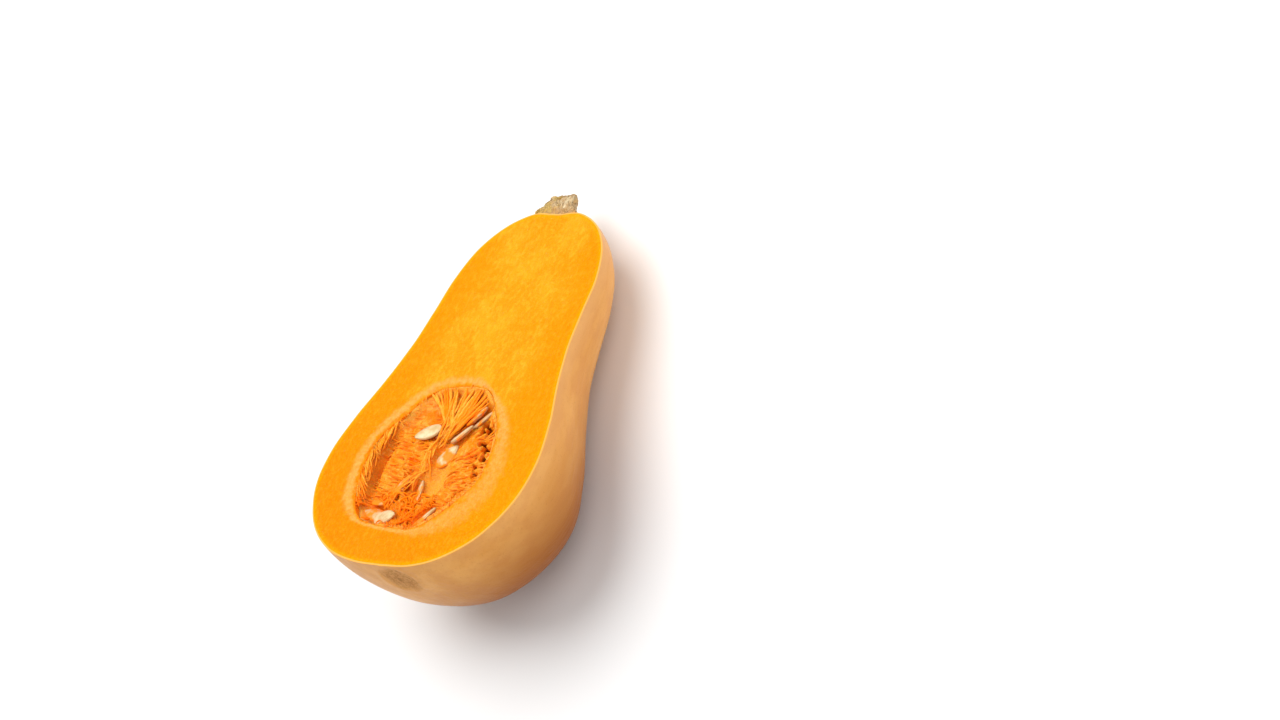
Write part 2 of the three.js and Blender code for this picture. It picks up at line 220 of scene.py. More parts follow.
def outward(turn):
    """Unit normals of the smooth outer shape round one of its loops."""
    share = np.clip(outside_share, 0.002, 0.998)
    onward = outside(turn, share + 0.001) - outside(turn, share - 0.001)
    down = outside(turn + 0.001, share) - outside(turn - 0.001, share)
    normal = np.cross(down, onward) * outside_side[:, None]
    normal /= np.linalg.norm(normal, axis=1, keepdims=True)
    normal[outside_share == 0] = (0, -1, 0)
    normal[outside_share == 1] = (0, 1, 0)
    return normal


def skin_loop(turn, inset=0.0):
    """A loop of the real, faintly uneven outside, or of a layer that lies inset beneath it."""
    smooth = outside(turn)
    clear_of_table = np.clip(laid(smooth)[:, 2] / 0.015, 0, 1)
    clear_of_ends = np.sin(np.pi * outside_share) ** 0.3
    lift = swells(smooth, SKIN_SWELLS) * clear_of_table * clear_of_ends - inset
    loop = smooth + outward(turn) * lift[:, None]
    loop[:, 2] = 0 if turn == 0 else np.minimum(loop[:, 2], 0)
    return loop


def spaced(low, high, count, crowding=1.0):
    """Numbers from low to high that crowd towards low as crowding grows."""
    return low + (high - low) * np.linspace(0, 1, count) ** crowding


hollow_edge = ring_loop(HOLLOW_EDGE)
ring_edge = ring_loop(SPONGY_RING)


def hollow_loop(depth, inset=0.0):
    """A loop of the hollow's wall at a depth below the cut face, or of a bowl inset in it."""
    spread = max(0.0, 1 - (depth / HOLLOW_DEPTH) ** HOLLOW_FULLNESS) ** (1 / HOLLOW_FULLNESS)
    reach = (hollow_edge - HOLLOW_MIDDLE) * spread
    length = np.maximum(np.linalg.norm(reach, axis=1, keepdims=True), 1e-6)
    reach = reach * np.maximum(0, 1 - inset / length)
    return np.column_stack([HOLLOW_MIDDLE + reach, np.full(LOOP_POINTS, inset - depth)])


def reach_of(ring, points):
    """How far a ring lies from the middle of the hollow in the direction of each point."""
    out = ring - HOLLOW_MIDDLE
    aim = np.arctan2(out[:, 1], out[:, 0])
    order = np.argsort(aim)
    wanted = np.arctan2(points[..., 1] - HOLLOW_MIDDLE[1], points[..., 0] - HOLLOW_MIDDLE[0])
    far = np.linalg.norm(out, axis=1)
    return np.interp(wanted, aim[order], far[order], period=2 * math.pi)


flesh_edge = skin_loop(0, SKIN_THICKNESS)
wall_depths = spaced(1.4, HOLLOW_DEPTH - 0.2, 34, 1.4)[::-1]
flesh_loops = [hollow_loop(HOLLOW_DEPTH)] + [hollow_loop(depth) for depth in wall_depths]
first_cut = len(flesh_loops)
cut_shares = np.sort(np.append(spaced(0.004, 1, 66, 1.25), [0.985, 0.994, 0.998]))
for share in cut_shares:
    cut = np.column_stack([hollow_edge, np.zeros(LOOP_POINTS)]) * (1 - share) + flesh_edge * share
    held = min(1, 12 * share, 25 * (1 - share))
    from_hollow = np.linalg.norm(cut[:, :2] - hollow_edge, axis=1)
    cut[:, 2] = held * swells(cut, CUT_SWELLS)
    rounding = HOLLOW_EDGE_ROUNDING * hump(from_hollow, HOLLOW_EDGE_REACH)
    cut[:, 2] -= rounding * (0.7 + 0.5 * ripple(cut, 5, seed=8))
    flesh_loops.append(cut)
buried = SKIN_THICKNESS + 0.05
flesh_loops += [skin_loop(turn, buried) for turn in spaced(0.004, math.pi / 2, 20)]
flesh_loops = np.array(flesh_loops)

# For the finish: how far each point of the cut lies from the skin, and how far it lies
# out from the edge of the hollow, at 0, to the edge of the spongy ring, at 1.
to_skin = np.full(flesh_loops.shape[:2], 50.0)
for row in range(first_cut, len(flesh_loops)):
    apart = flesh_loops[row, :, None, :2] - flesh_edge[None, ::3, :2]
    to_skin[row] = np.linalg.norm(apart, axis=2).min(1)
in_ring = np.maximum(-0.6, flesh_loops[:, :, 2] / 9)
on_cut = flesh_loops[first_cut:]
to_middle = np.linalg.norm(on_cut[..., :2] - HOLLOW_MIDDLE, axis=2)
to_hollow, to_ring = reach_of(hollow_edge, on_cut), reach_of(ring_edge, on_cut)
in_ring[first_cut:] = (to_middle - to_hollow) / (to_ring - to_hollow)


def paint(red, green, blue):
    """A colour given as it looks on a screen, from 0 to 255."""
    shares = [value / 255 for value in (red, green, blue)]
    return (*(s / 12.92 if s < 0.04 else ((s + 0.055) / 1.055) ** 2.4 for s in shares), 1)


def feed(tree, socket, value):
    """Sets a socket to a number or a colour, or joins another node's output to it."""
    if isinstance(value, bpy.types.NodeSocket):
        tree.links.new(value, socket)
    else:
        socket.default_value = value


def add_node(tree, kind, inputs, output=0, **settings):
    """Adds a node with its settings and inputs, and hands back one of its outputs."""
    made = tree.nodes.new(kind)
    for key, value in settings.items():
        setattr(made, key, value)
    for key, value in inputs.items():
        feed(tree, made.inputs[key], value)
    return made.outputs[output]


class Finish:
    """A material in the making. Its methods add nodes and hand back their outputs."""

    def __init__(self, name):
        self.material = bpy.data.materials.new(name)
        self.material.use_nodes = True
        self.tree = self.material.node_tree
        self.shader = self.tree.nodes["Principled BSDF"]

    def add(self, kind, inputs, output=0, **settings):
        return add_node(self.tree, "ShaderNode" + kind, inputs, output, **settings)

    def place(self, *stretch):
        """Where a point lies on the half, in millimetres, squeezed by a factor on each axis."""
        here = self.add("TexCoord", {}, "Object")
        back = Euler((LYING_TILT, 0, 0)).to_matrix() @ face_origin * -1000
        turned = {"Vector": here, "Location": back, "Rotation": (LYING_TILT, 0, 0)}
        turned = self.add("Mapping", {**turned, "Scale": (1000, 1000, 1000)})
        if not stretch:
            return turned
        return self.add("VectorMath", {0: turned, 1: stretch}, operation="MULTIPLY")

    def axis(self, where, letter):
        """One of the X, Y and Z of a place."""
        return self.add("SeparateXYZ", {0: where}, letter)

    def stored(self, name):
        """A number that the mesh holds for each point."""
        return self.add("Attribute", {}, "Fac", attribute_name=name)

    def ramp(self, value, low, high, start=0.0, end=1.0):
        """Start while a value is under low, end once it is over high, and a smooth rise between."""
        limits = {"From Min": low, "From Max": high, "To Min": start, "To Max": end}
        return self.add("MapRange", {"Value": value, **limits}, interpolation_type="SMOOTHSTEP")

    def patches(self, where, size, low=0.3, high=0.7, detail=3.0, rough=0.55, swirl=0.0):
        """Irregular patches about size across, from 0 between them to 1 inside them."""
        sizes = {"Scale": 1 / size, "Detail": detail, "Roughness": rough, "Distortion": swirl}
        return self.ramp(self.add("TexNoise", {"Vector": where, **sizes}), low, high)

    def cells(self, where, size, feature="F1"):
        """Distance from the middle of cells about size across."""
        sizes = {"Vector": where, "Scale": 1 / size}
        return self.add("TexVoronoi", sizes, "Distance", feature=feature)

    def sum(self, first, second, share):
        """First plus share times second."""
        return self.add("Math", {0: second, 1: share, 2: first}, operation="MULTIPLY_ADD")

    def times(self, first, second):
        return self.add("Math", {0: first, 1: second}, operation="MULTIPLY")

    def mix(self, share, first, second):
        """Goes from the first colour to the second as share goes from 0 to 1."""
        return self.add("Mix", {0: share, 6: first, 7: second}, 2, data_type="RGBA")

    def tint(self, share, colour, strength=None):
        """Lays a colour over those so far, fully where share, or share times strength, is 1."""
        if strength is not None:
            share = self.times(share, strength)
        self.colour = self.mix(share, self.colour, colour)

    def relief(self, *layers):
        """Bumps: each layer is a height from 0 to 1 and its depth in millimetres."""
        normal = None
        for height, depth in layers:
            under = {"Normal": normal} if normal else {}
            normal = self.add("Bump", {"Height": height, "Distance": depth * 0.001, **under})
        feed(self.tree, self.shader.inputs["Normal"], normal)

    def surface(self, **inputs):
        """Sets the shader's own sockets, named with _ for a space."""
        for key, value in inputs.items():
            feed(self.tree, self.shader.inputs[key.replace("_", " ")], value)

    def dress(self, piece):
        """Makes this the one material of a piece."""
        piece.data.materials.clear()
        piece.data.materials.append(self.material)


FLESH_DEEP = paint(250, 131, 0)
FLESH_RIGHT = paint(252, 141, 0)
FLESH_NECK = paint(252, 140, 0)
FLESH_PALE = paint(253, 160, 22)
FLECK_YELLOW = paint(255, 170, 38)
GRAIN_YELLOW = paint(255, 182, 58)
DIMPLE_ORANGE = paint(246, 128, 0)
RIM_YELLOW = paint(253, 166, 0)
SPONGE_PEACH = paint(251, 154, 58)
SPONGE_PALE = paint(254, 172, 86)
LIP_ORANGE = paint(252, 140, 22)

flesh = Finish("flesh")
here = flesh.place()
lengthwise = flesh.place(1, 0.62, 1)
across = flesh.axis(here, "X")
along = flesh.axis(here, "Y")
flesh.colour = flesh.mix(flesh.ramp(across, 10, 60), FLESH_DEEP, FLESH_RIGHT)
in_neck = flesh.ramp(along, 20, 190)
flesh.tint(in_neck, FLESH_NECK)
off_middle = flesh.add("Math", {0: across}, operation="ABSOLUTE")
off_middle = flesh.sum(off_middle, flesh.patches(here, 12, 0.2, 0.8), 14)
cloud = flesh.ramp(flesh.patches(lengthwise, 26, 0.4, 0.62), 0, 1, 0.35, 1)
paler = flesh.times(cloud, flesh.ramp(in_neck, 0.1, 0.7, 0.1, 0.9))
paler = flesh.times(paler, flesh.ramp(off_middle, 24, 54, 1, 0.1))
flesh.tint(paler, FLESH_PALE)
fleck = flesh.patches(lengthwise, 2.6, 0.46, 0.64, detail=4, rough=0.62)
flesh.tint(fleck, FLECK_YELLOW, flesh.ramp(paler, 0, 0.6, 0.25, 0.85))
grain = flesh.patches(here, 0.9, 0.42, 0.66, rough=0.7)
flesh.tint(grain, GRAIN_YELLOW, flesh.ramp(paler, 0, 0.6, 0.12, 0.35))
flesh.tint(flesh.patches(lengthwise, 5, 0.52, 0.72, detail=5, rough=0.7), DIMPLE_ORANGE, 0.3)
flesh.tint(flesh.ramp(flesh.stored("to_skin"), 0.3, 3.5, 1, 0), RIM_YELLOW, 0.7)
ring = flesh.sum(flesh.stored("in_ring"), flesh.patches(here, 5, 0.2, 0.8, detail=4), 0.5)
spongy = flesh.times(flesh.ramp(ring, 0.3, 0.75), flesh.ramp(ring, 0.95, 1.7, 1, 0))
to_right = flesh.sum(across, along, -0.6)
spongy = flesh.times(spongy, flesh.ramp(to_right, -25, 20, 1, 0.62))
cotton = flesh.patches(here, 2.2, 0.35, 0.65, detail=5, rough=0.7)
flesh.tint(spongy, flesh.mix(cotton, SPONGE_PEACH, SPONGE_PALE))
flesh.tint(flesh.ramp(ring, 0.05, 0.45, 1, 0), LIP_ORANGE)
wet = flesh.patches(here, 1.3, 0.62, 0.74, detail=2)
flesh.surface(
    Base_Color=flesh.colour,
    Roughness=flesh.ramp(wet, 0, 1, 0.55, 0.22),
    Specular_IOR_Level=flesh.ramp(wet, 0, 1, 0.04, 0.6),
    Specular_Tint=paint(255, 190, 90),
    Subsurface_Weight=0.25,
    Subsurface_Radius=(1.0, 0.35, 0.05),
    Subsurface_Scale=0.003,
    IOR=1.33,
)
flesh.relief(
    (flesh.patches(here, 3.2, 0.2, 0.8), 0.5),
    (flesh.cells(lengthwise, 1.3), 0.45),
    (flesh.patches(here, 0.55, 0.2, 0.8, detail=2), 0.18),
)

half_flesh = loops_piece("squash_flesh", flesh_loops, to_skin=to_skin, in_ring=in_ring)
flesh.dress(half_flesh)
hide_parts("squash_half")
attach(half_flesh, "root")


# --- Rind ---------------------------------------------------------------------
# The thin, hard tan skin that the flesh grew against, still whole over the back of the
# half. The knife leaves its edge as a pale line round the cut. At the blossom end it
# carries the round corky scar where the flower dropped off.

SCAR_MIDDLE = (3, 0.3, -14.5)
SCAR_RADIUS = 13
SCAR_SUNK = 0.35
SCAR_RIM = 0.3
SCAR_GRAIN = 0.15

outer_turns = np.append(spaced(0.006, math.pi / 2 - 0.02, 92, 1.15), math.pi / 2)
inner_turns = spaced(0.004, math.pi / 2, 12)[::-1]
rind_loops = [skin_loop(turn, SKIN_THICKNESS) for turn in inner_turns]
rind_loops += [skin_loop(0, SKIN_THICKNESS), skin_loop(0, 0.3), skin_loop(0.0015, 0.1)]
for turn in outer_turns:
    loop = skin_loop(turn)
    from_scar = np.linalg.norm(loop - SCAR_MIDDLE, axis=1)
    from_scar += 1.5 * ripple(loop, 6, seed=11)
    in_scar = np.clip((SCAR_RADIUS - from_scar) / 1.5, 0, 1)
    at_rim = hump(from_scar - SCAR_RADIUS, 1.6)
    grain = SCAR_GRAIN * in_scar * ripple(loop, 1.6, seed=2)
    loop[:, 1] += SCAR_SUNK * in_scar - SCAR_RIM * at_rim + grain
    rind_loops.append(loop)

RIND_TAN = paint(228, 159, 82)
RIND_PALE = paint(240, 175, 99)
RIND_STREAK = paint(238, 176, 102)
RIND_FRECKLE = paint(184, 112, 56)
RIND_BLOTCH = paint(216, 142, 80)
# Painted shade for the underside and right flank, not the skin's own colour.
RIND_UNDERSIDE_SHADE = paint(158, 87, 24)
# Painted shade for the keel next to the table.
RIND_KEEL_SHADE = paint(150, 82, 26)
RIND_BLUSH = paint(236, 176, 112)
RIND_CUT_EDGE = paint(250, 182, 84)
SCAR_BUFF = paint(226, 168, 108)
SCAR_BROWN = paint(198, 138, 82)
SCAR_DOTS = paint(158, 98, 50)
SCAR_HEART = paint(130, 84, 46)

rind = Finish("rind")
here = rind.place()
along = rind.axis(here, "Y")
below = rind.axis(here, "Z")
broad = rind.patches(rind.place(1, 0.3, 1), 24, 0.36, 0.66)
rind.colour = rind.mix(broad, RIND_TAN, RIND_PALE)
streak = rind.patches(rind.place(1, 0.07, 1), 4.5, 0.34, 0.68, detail=4)
rind.tint(streak, RIND_STREAK, 0.35)
rind.tint(rind.patches(here, 1.1, 0.58, 0.74, detail=2), RIND_FRECKLE, 0.3)
rind.tint(rind.patches(rind.place(1, 0.5, 1), 9, 0.42, 0.62, detail=4), RIND_BLOTCH, 0.3)
# Painted shade: the skin is coloured darker and browner towards its underside and its right flank,
# where less light reaches it.
under = rind.sum(below, rind.axis(here, "X"), -0.5)
under = rind.sum(under, along, 0.12)
rind.tint(rind.ramp(under, -82, -28, 0.95, 0), RIND_UNDERSIDE_SHADE)
# Painted shade: darker still along the keel, the lowest band of the skin next to the table.
rind.tint(rind.ramp(below, -88, -48, 0.55, 0), RIND_KEEL_SHADE)
blush = rind.times(rind.ramp(below, -13, -1.5), rind.ramp(along, 60, 170, 0.25, 0.8))
rind.tint(blush, RIND_BLUSH, 0.7)
rind.tint(rind.ramp(below, -0.7, -0.1), RIND_CUT_EDGE, 0.8)
from_scar = rind.add("VectorMath", {0: here, 1: SCAR_MIDDLE}, "Value", operation="DISTANCE")
from_scar = rind.sum(from_scar, rind.patches(here, 5, 0.2, 0.8), 5)
in_scar = rind.ramp(from_scar, SCAR_RADIUS - 3, SCAR_RADIUS + 4, 1, 0)
dots = rind.times(rind.ramp(rind.cells(here, 1.5), 0.25, 0.5, 1, 0), 0.55)
heart = rind.times(rind.ramp(from_scar, 2.5, 4.5, 1, 0), 0.6)
corky = rind.mix(rind.patches(here, 2.4), SCAR_BUFF, SCAR_BROWN)
corky = rind.mix(heart, rind.mix(dots, corky, SCAR_DOTS), SCAR_HEART)
rind.tint(in_scar, corky, 0.75)
rind.surface(
    Base_Color=rind.colour,
    Roughness=rind.ramp(rind.sum(in_scar, streak, 0.3), 0, 1.2, 0.36, 0.75),
    Specular_IOR_Level=0.12,
    Specular_Tint=paint(255, 214, 160),
    Subsurface_Weight=0.05,
    Subsurface_Radius=(1.0, 0.5, 0.25),
    Subsurface_Scale=0.002,
    IOR=1.4,
)
rind.relief(
    (broad, 0.25),
    (rind.patches(rind.place(1, 0.12, 1), 3, 0.25, 0.75, detail=2), 0.08),
    (rind.patches(here, 0.8, detail=2), 0.03),
    (rind.times(in_scar, rind.patches(here, 0.9, detail=4)), 0.3),
)

skin = loops_piece("squash_rind", rind_loops)
rind.dress(skin)
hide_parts("squash_half")
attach(skin, "root")


# --- Stem ---------------------------------------------------------------------
# The corky stump that the fruit hung from: a short, ribbed peg on a flared foot, seated
# in the shoulder of the neck. It has dried hard and cracked along its ribs. The knife
# has sliced it a little in front of its middle.

STEM_FOOT = np.array([-1.0, 234.0, -2.0])
STEM_TALL = 17
STEM_TOP_RADIUS = 7.5
# Up the stem as a share of its height, and its radius there.
STEM_PROFILE = [
    (0, 10.5), (0.16, 13), (0.29, 13.5), (0.42, 12), (0.58, 10.7), (0.76, 9.3),
    (0.92, 8.7), (1, STEM_TOP_RADIUS),
]
STEM_LEAN = 0.6
STEM_RIBS = 5
STEM_POINTS = 180

stem_turns = np.arange(STEM_POINTS) * 2 * math.pi / STEM_POINTS
stem_rows = through(STEM_PROFILE, np.linspace(0, 1, 70))
stem_rows = [(0, 0)] + [tuple(row) for row in stem_rows]
top_shares = (0.93, 0.8, 0.6, 0.35, 0.15, 0)
stem_rows += [(1 - 0.03 * (1 - share), STEM_TOP_RADIUS * share) for share in top_shares]
stem_loops = []
for share, radius in stem_rows:
    twist = stem_turns + 0.25 * share
    leftward = np.maximum(0, -np.cos(twist)) * (1 - share) ** 1.5
    ribbed = radius * (1 + 0.05 * np.cos(STEM_RIBS * stem_turns) + 0.2 * leftward)
    up = np.full(STEM_POINTS, share * STEM_TALL)
    loop = np.column_stack([ribbed * np.cos(twist), up, ribbed * np.sin(twist)])
    crack = 1 - 2 * abs(ripple(loop * (1, 0.35, 1), 2.8, seed=4))
    knob = ripple(loop, 4.6, seed=9)
    swell = 1 + (0.9 * crack**3 - 0.35 + 1.5 * knob) / 12 * min(1, radius / 4)
    facet = abs(ripple(loop, 3.6, seed=31))
    loop = loop * np.column_stack([swell, np.ones(STEM_POINTS), swell]) + STEM_FOOT
    loop[:, 0] += STEM_LEAN * share
    top = max(0, (share - 0.7) / 0.3)
    loop[:, 1] += min(1, radius / 4) * top * (1.7 * knob + 0.12 * loop[:, 0] - 0.4)
    loop[:, 2] = np.minimum(loop[:, 2], -0.2 - 2.6 * facet * min(1, 4 * share))
    stem_loops.append(loop)

CORK_TAN = paint(220, 180, 118)
CORK_CREAM = paint(250, 232, 192)
CORK_STAIN = paint(226, 178, 120)
CORK_FOOT = paint(226, 166, 92)
CORK_OLIVE = paint(228, 192, 84)
CORK_SPLIT = paint(164, 114, 62)

cork = Finish("stem_cork")
here = cork.place()
ribs = cork.patches(cork.place(1, 0.3, 1), 2.6, detail=5, rough=0.65)
cork.colour = cork.mix(ribs, CORK_TAN, CORK_CREAM)
cork.tint(cork.patches(here, 5, 0.4, 0.62, detail=4), CORK_STAIN, 0.45)
cork.tint(cork.ramp(cork.axis(here, "Y"), 239, 244, 0.6, 0), CORK_FOOT)
olive = cork.sum(cork.patches(here, 3.4), cork.axis(here, "X"), -0.07)
cork.tint(cork.ramp(olive, 0.6, 1.3, 0, 0.6), CORK_OLIVE)
split = cork.cells(cork.place(1, 0.45, 1), 2.4, "DISTANCE_TO_EDGE")
cork.tint(cork.ramp(split, 0.0, 0.1, 0.45, 0), CORK_SPLIT)
cork.surface(Base_Color=cork.colour, Roughness=cork.ramp(ribs, 0, 1, 0.85, 0.6), IOR=1.4)
cork.relief(
    (ribs, 0.9),
    (cork.ramp(split, 0, 0.2), 0.3),
    (cork.patches(here, 0.9, detail=4, rough=0.7), 0.3),
)

stem = loops_piece("squash_stem", stem_loops)
cork.dress(stem)
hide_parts("stem")
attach(stem, "root")


# --- Seeds --------------------------------------------------------------------
# Thirteen flat seeds, pointed at one end, with a smooth cream coat and a raised margin.
# Each lies where the strings let go of it, half sunk in the pulp, some under a wet film.

SEED_LENGTH = 17
SEED_WIDTH = 9.5
SEED_THICKNESS = 3
SEED_OUTLINE = [
    (-0.5, 0), (-0.49, 0.26), (-0.4, 0.66), (-0.22, 0.95), (0, 1), (0.2, 0.84), (0.37, 0.5),
    (0.47, 0.22), (0.5, 0),
]
SEED_POINTS = 56
# Each seed's middle, its heading, pitch and roll in degrees, and how much film covers it.
SEEDS = {
    "seed_01": ((-18, 88, -4.2), 210, 6, 2, 0.0),
    "seed_02": ((-7.5, 92, -8), 38, 0, -16, 0.15),
    "seed_03": ((8, 87.8, -4.2), 34, 12, -34, 0.25),
    "seed_04": ((1, 75.5, -7.8), 60, 0, 6, 0.4),
    "seed_05": ((-20, 53, -6), 70, 2, -18, 0.5),
    "seed_06": ((-16.5, 60.5, -9), 104, 2, -22, 0.85),
    "seed_07": ((-28.5, 43.5, -7.5), 4, 0, -40, 0.6),
    "seed_08": ((-32, 35.6, -8.4), 172, 6, 14, 0.42),
    "seed_09": ((-19.5, 32.4, -4.6), 9, 12, 0, 0.0),
    "seed_10": ((17, 98.8, -6), 38, 12, -38, 0.3),
    "seed_11": ((11.5, 100.4, -5.2), 40, 12, -38, 0.45),
    "seed_12": ((8.5, 34.5, -5.6), 48, 4, -35, 0.4),
    "seed_13": ((-7, 50.5, -8), 92, 4, -34, 0.45),
}


def rise(value, low, high):
    """From 0, where value is low or less, to 1, where it is high or more."""
    share = np.clip((value - low) / (high - low), 0, 1)
    return share * share * (3 - 2 * share)


def seed_turn(heading, pitch, roll):
    """How a seed lies, from angles in degrees. At rest its point looks along x."""
    return Euler([math.radians(angle) for angle in (roll, -pitch, heading)]).to_matrix()


COAT_TAN = paint(206, 174, 120)
COAT_CREAM = paint(230, 206, 160)
COAT_MARGIN = paint(176, 128, 66)
COAT_FILM = paint(252, 136, 6)

coat = Finish("seed_coat")
here = coat.place()
blotch = coat.patches(here, 4, 0.35, 0.65, detail=4)
coat.colour = coat.mix(blotch, COAT_TAN, COAT_CREAM)
coat.tint(coat.stored("margin"), COAT_MARGIN, 0.7)
film = coat.sum(coat.stored("covered"), coat.patches(here, 5, detail=2), 0.6)
film = coat.ramp(film, 0.55, 0.98)
coat.tint(film, COAT_FILM, 0.94)
coat.surface(
    Base_Color=coat.colour,
    Roughness=coat.ramp(blotch, 0, 1, 0.42, 0.28),
    Specular_IOR_Level=coat.ramp(film, 0, 1, 0.5, 0.15),
    Specular_Tint=paint(255, 224, 176),
    Coat_Weight=coat.ramp(film, 0, 1, 0.4, 0.05),
    Coat_Roughness=0.12,
    IOR=1.45,
)
coat.relief((coat.patches(here, 0.8), 0.06), (blotch, 0.1))

draw = random.Random(23)
seed_round = np.arange(SEED_POINTS) * 2 * math.pi / SEED_POINTS
across, up = np.cos(seed_round), np.sin(seed_round)
raised_margin = hump(abs(across) - 0.84, 0.07) - 0.6 * hump(abs(across) - 0.7, 0.09)
for name, (middle, heading, pitch, roll, covered) in SEEDS.items():
    warp = draw.uniform(0.15, 0.5)
    slim = draw.uniform(0.94, 1.0)
    lie = seed_turn(heading, pitch, roll)
    loops, margins, films = [], [], []
    for along, share in through(SEED_OUTLINE, 0.5 - 0.5 * np.cos(np.linspace(0, math.pi, 60))):
        share = max(share, 0) * slim
        half_thick = SEED_THICKNESS / 2 * min(1, 0.35 + 0.75 * share) * min(1, share / 0.22)
        face = up * (0.55 + 0.45 * abs(up))
        face = face + np.sign(up) * 0.14 * raised_margin * min(1, share / 0.3)
        bent = warp * (4 * along * along - 0.5) * share**0.2
        loop = np.column_stack([
            np.full(SEED_POINTS, along * SEED_LENGTH),
            SEED_WIDTH / 2 * share * across,
            half_thick * face + bent,
        ])
        loops.append(loop @ np.array(lie).T + middle)
        margins.append(rise(abs(across), 0.74, 0.92))
        films.append(np.full(SEED_POINTS, covered * (1.2 - 0.9 * along)))
    seed = loops_piece(name + "_coat", loops, margin=margins, covered=films)
    coat.dress(seed)
    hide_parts(name)
    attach(seed, "root")


# --- Pulp ---------------------------------------------------------------------
# The soft orange mass that fills the hollow: fine wet fibres grown together, which run
# across it from a ridge down its middle, with a smooth pale web in a dip beside the
# ridge and gaps where it has come away from the wall.

PULP_LEVEL = -6.6
PULP_CLIMB = 5.6
RIDGE_TALL = 3
LEFT_GAP = 9
RIGHT_GAP = 4
WEB_DIP = 6
FIBRE_DEPTH = 1.5
FOLD_DEPTH = 1.1
PIT_DEPTH = 6
SLIT_DEPTH = 1.6
# Where the fibres of the right side and of the fan start from, and how far out from
# there they are as wide as stated.
RIGHT_FIBRES = (-28, 50)
RIGHT_REACH = 44
FAN_FIBRES = (-5, 66)
FAN_REACH = 34
RIDGE = [
    (-20, 43), (-16, 50), (-11, 56), (-8, 62), (-6, 69), (-8, 77), (-6, 84), (-2, 92),
    (-3, 101), (-2, 115),
]


def ridge_at(y):
    """How far across the ridge lies, that far up the hollow."""
    across, along = np.array(RIDGE, float).T
    return np.interp(y, along, across)


def from_wall(x, y):
    """How far inside the edge of the hollow a spot lies."""
    spot = np.stack([x, y], -1)
    return reach_of(hollow_edge, spot) - np.hypot(x - HOLLOW_MIDDLE[0], y - HOLLOW_MIDDLE[1])


def pulp_height(x, y):
    """How high the pulp stands at a spot of the hollow: below 0 is below the cut face."""
    edge = from_wall(x, y)
    level = PULP_LEVEL + 0.7 * np.sin(0.33 * x + 1) * np.sin(0.24 * y)
    level = level + PULP_CLIMB * hump(edge, 6)
    ridge = RIDGE_TALL * hump(x - ridge_at(y), 4) + 1.8 * np.clip(x / 25, 0, 1)
    left_gap = np.where(x < -20, LEFT_GAP * hump(edge - 5, 3.5) * hump(y - 64, 22), 0)
    right_gap = np.where(x > 5, RIGHT_GAP * hump(edge - 3.5, 2.2) * hump(y - 76, 26), 0)
    dip = WEB_DIP * hump(np.hypot(x - 1, (y - 60) * 0.7), 7)
    return level + ridge - left_gap - right_gap - dip


def nested(x, y, height):
    """The pulp sunk round each seed, so that as much of the seed shows as its film leaves bare."""
    for middle, heading, pitch, roll, covered in SEEDS.values():
        ahead, aside, normal = np.array(seed_turn(heading, pitch, roll)).T
        off_x, off_y = x - middle[0], y - middle[1]
        along = (off_x * ahead[0] + off_y * ahead[1]) / np.hypot(*ahead[:2])
        across = (off_x * aside[0] + off_y * aside[1]) / np.hypot(*aside[:2])
        under = middle[2] - (off_x * normal[0] + off_y * normal[1]) / normal[2]
        inside = 1 - rise(np.hypot(along / 8.8, across / 5.2), 0.95, 1.5)
        sunk = np.minimum(height, np.maximum(under - 0.5 + 1.4 * covered, height - 4))
        height = height * (1 - inside) + sunk * inside
    return height


def web_at(x, y):
    """How much a spot belongs to the smooth web right of the ridge, from 0 to 1."""
    return hump(np.hypot((x + 0.5 - 0.2 * (y - 58)) * 0.9, (y - 58) * 0.5), 7.5)


def seen_from(spot, x, y):
    """The direction in which a point lies from a spot, and how far off."""
    return np.arctan2(y - spot[1], x - spot[0]), np.hypot(y - spot[1], x - spot[0])


def weave(u, v, layer):
    """Smooth noise over u and v. Each layer is a pattern of its own."""
    return ripple(np.stack([u, v, u * 0 + layer], -1), 1)


def fibre(along, across, length, width, layer):
    """Relief of long fibres, 0 in the creases between them and 1 along their backs."""
    wave = weave(along / length, across / width, layer)
    fine = weave(along / length, across / width * 2.3, -layer)
    return np.clip(1 - 1.5 * abs(wave) - 0.5 * abs(fine), 0, 1)


def pulp_relief(x, y):
    """The fibres of each part of the mass, from 0 to 1, and where the smooth web lies."""
    across_left = fibre(x, y + 0.1 * x + 0.8 * np.sin(0.2 * x), 13, 2.3, 3.1)
    aim, far = seen_from(RIGHT_FIBRES, x, y)
    radial = fibre(far, aim * RIGHT_REACH, 14, 2.2, 5.3)
    aim, far = seen_from(FAN_FIBRES[::-1], y, x)
    fanned = fibre(far, aim * FAN_REACH, 16, 2.3, 7.7)
    lumpy = 0.5 + 0.5 * ripple(np.stack([x, y, x * 0], -1), 7, seed=13)
    on_right = rise(x - ridge_at(y), -2, 4)
    in_fan = rise(y + 0.35 * x, 84, 95) * on_right
    top_left = rise(y, 84, 96) * (1 - on_right)
    relief = across_left * (1 - on_right) + radial * on_right
    relief = relief * (1 - in_fan) + fanned * in_fan
    relief = relief * (1 - top_left) + lumpy * top_left
    web = web_at(x, y)
    return relief * (1 - web) + 0.75 * web, web, top_left


def slits(x, y):
    """Short torn openings between the fibres, 0 to 1, more of them towards the right wall."""
    on_right = rise(x - ridge_at(y), -2, 4)
    aim, far = seen_from(RIGHT_FIBRES, x, y)
    left = weave(x / 4.5, (y + 0.1 * x) / 0.9, 21)
    right = weave(far / 5, aim * RIGHT_REACH / 1.1, 27)
    torn = left * (1 - on_right) + right * on_right
    amount = 0.46 - 0.16 * on_right * rise(x, 8, 34)
    calm = np.maximum(rise(web_at(x, y), 0.15, 0.4), rise(y + 0.35 * x, 86, 92))
    return rise(torn, amount, amount + 0.16) * (1 - calm)


